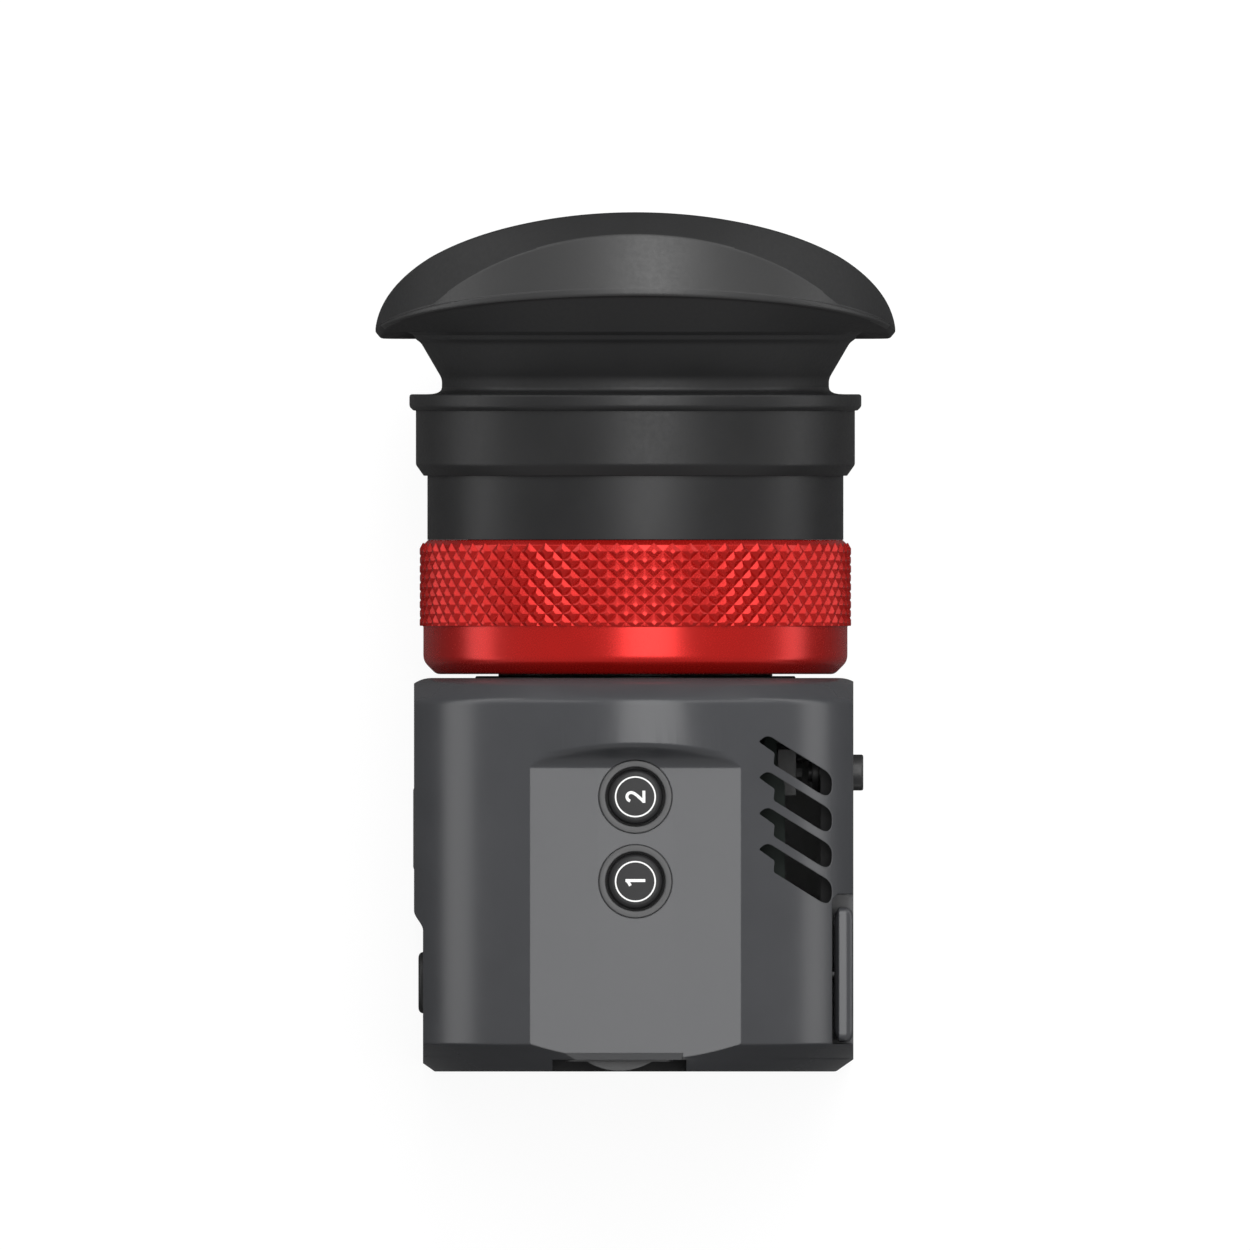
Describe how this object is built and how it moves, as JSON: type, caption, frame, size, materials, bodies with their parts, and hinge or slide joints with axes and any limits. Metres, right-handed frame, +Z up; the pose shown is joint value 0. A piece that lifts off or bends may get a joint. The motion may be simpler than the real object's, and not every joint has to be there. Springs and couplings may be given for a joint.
{
  "type": "electronic viewfinder",
  "caption": "Boxy domed camera viewfinder with a button panel, side vents, sockets in front, a red focusing ring and a soft winged eyecup on a round barrel.",
  "frame": {"origin": "middle of the flat bottom face, between its two threaded inserts", "axes": "+Y along the optical axis from the display to the eye, +Z up through the button panel, +X to the vents' side; the optical axis runs 35 mm above the origin"},
  "size_m": [0.0682, 0.1127, 0.069],
  "materials": {
    "painted_body": "fine matte paint over a cast light alloy",
    "anodised_black": "black anodised, satin",
    "anodised_red": "red anodised, satin, with a knurled band",
    "black_rubber": "soft matte rubber",
    "black_plastic": "moulded, fine grain",
    "steel": "plated, satin",
    "black_steel": "black oxide",
    "lens_glass": "polished and coated",
    "display_glass": "dark cover glass",
    "circuit_board": "solder mask",
    "flex_film": "amber film",
    "bare_aluminium": "bare, machined"
  },
  "bodies": {
    "body": {"main_housing": "painted_body", "base_plate": "painted_body", "front_plate": "painted_body", "side_cover": "painted_body", "button_bezel_1": "painted_body", "button_bezel_2": "painted_body", "optical_tube": "anodised_black", "outer_barrel": "anodised_black", "port_cover": "black_rubber", "button_switch_1": "black_plastic", "button_switch_2": "black_plastic", "left_switch": "black_plastic", "right_switch": "black_plastic", "power_socket": "black_plastic", "video_socket_insulator": "black_plastic", "video_processor": "black_plastic", "display_bracket": "black_plastic", "thread_insert_front": "steel", "thread_insert_rear": "steel", "video_socket_shell": "steel", "power_socket_pin": "steel", "base_screw_front_left": "black_steel", "base_screw_front_right": "black_steel", "base_screw_rear_left": "black_steel", "base_screw_rear_right": "black_steel", "front_screw_1": "black_steel", "front_screw_2": "black_steel", "front_screw_3": "black_steel", "front_screw_4": "black_steel", "side_screw_1": "black_steel", "side_screw_2": "black_steel", "tube_screw_1": "black_steel", "tube_screw_2": "black_steel", "tube_screw_3": "black_steel", "bracket_screw_1": "black_steel", "bracket_screw_2": "black_steel", "display_panel": "display_glass", "main_board": "circuit_board", "display_board": "circuit_board", "left_board": "circuit_board", "right_board": "circuit_board", "flex_cable": "flex_film", "heat_sink": "bare_aluminium"},
    "diopter_ring": {"diopter_ring": "anodised_red"},
    "lens_cell": {"lens_cell": "anodised_black", "field_lens": "lens_glass", "lens_spacer": "anodised_black", "eye_lens": "lens_glass", "retaining_ring": "anodised_black", "guide_pin_1": "steel", "guide_pin_2": "steel", "guide_pin_3": "steel"},
    "eyecup": {"eyecup": "black_rubber"},
    "button_1": {"button_1": "black_plastic"},
    "button_2": {"button_2": "black_plastic"},
    "side_button": {"side_button": "black_plastic"},
    "power_button": {"power_button": "black_rubber"}
  },
  "joints": [
    {"name": "diopter_turn", "type": "hinge", "parent": "body", "child": "diopter_ring", "pos_m": [0, 0.03, 0.035], "axis": [0, 1, 0], "range_deg": [-60, 60]},
    {"name": "lens_slide", "type": "slide", "parent": "body", "child": "lens_cell", "axis": [0, 1, 0], "range_m": [-0.00255, 0.00255]},
    {"name": "eyecup_turn", "type": "hinge", "parent": "body", "child": "eyecup", "pos_m": [0, 0.06, 0.035], "axis": [0, 1, 0], "continuous": true},
    {"name": "button_1_press", "type": "slide", "parent": "body", "child": "button_1", "axis": [0, 0, -1], "range_m": [0, 0.0004], "stiffness_N_per_m": 3000, "springref_m": -0.0001},
    {"name": "button_2_press", "type": "slide", "parent": "body", "child": "button_2", "axis": [0, 0, -1], "range_m": [0, 0.0004], "stiffness_N_per_m": 3000, "springref_m": -0.0001},
    {"name": "side_button_press", "type": "slide", "parent": "body", "child": "side_button", "axis": [-1, 0, 0], "range_m": [0, 0.0005], "stiffness_N_per_m": 3000, "springref_m": -0.0001},
    {"name": "power_button_press", "type": "slide", "parent": "body", "child": "power_button", "axis": [1, 0, 0], "range_m": [0, 0.0004], "stiffness_N_per_m": 3000, "springref_m": -0.0001}
  ],
  "couplings": [
    {"joint": "lens_slide", "follows": "diopter_turn", "m_per_rad": 0.0023873}
  ]
}
